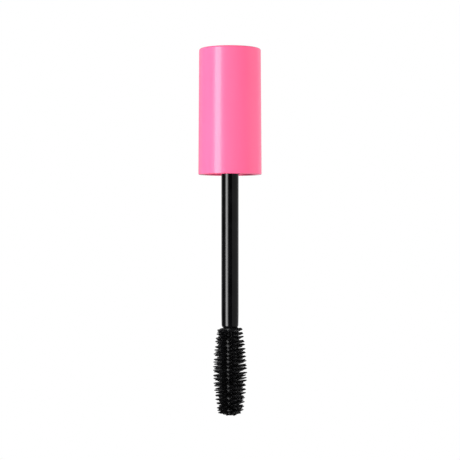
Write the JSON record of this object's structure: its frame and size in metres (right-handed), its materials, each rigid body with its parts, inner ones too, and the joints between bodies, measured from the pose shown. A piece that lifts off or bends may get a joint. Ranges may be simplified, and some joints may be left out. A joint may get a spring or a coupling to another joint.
{
  "type": "mascara applicator",
  "caption": "Mascara applicator: gloss round cap with a threaded inner cap, a slim wand and an oval moulded elastomer brush.",
  "frame": {"origin": "centre of the cap's mouth, on the plane of its rim", "axes": "+Z along the common axis towards the closed end of the cap, so that the wand and brush hang towards -Z; X and Y are square to it, and the piece is the same all round but for its thread, ribs and bristles"},
  "size_m": [0.018, 0.018, 0.1042],
  "materials": {
    "cap_pink": "high gloss injection-moulded plastic, pink",
    "inner_cap_plastic": "satin moulded polypropylene, pink",
    "washer_rubber": "soft foamed elastomer, off-white",
    "wand_black": "gloss moulded plastic, black",
    "brush_elastomer": "semi-gloss thermoplastic elastomer, black"
  },
  "bodies": {
    "root": {"cap_shell": "cap_pink", "inner_cap": "inner_cap_plastic", "sealing_washer": "washer_rubber", "wand": "wand_black", "brush": "brush_elastomer"}
  },
  "joints": []
}
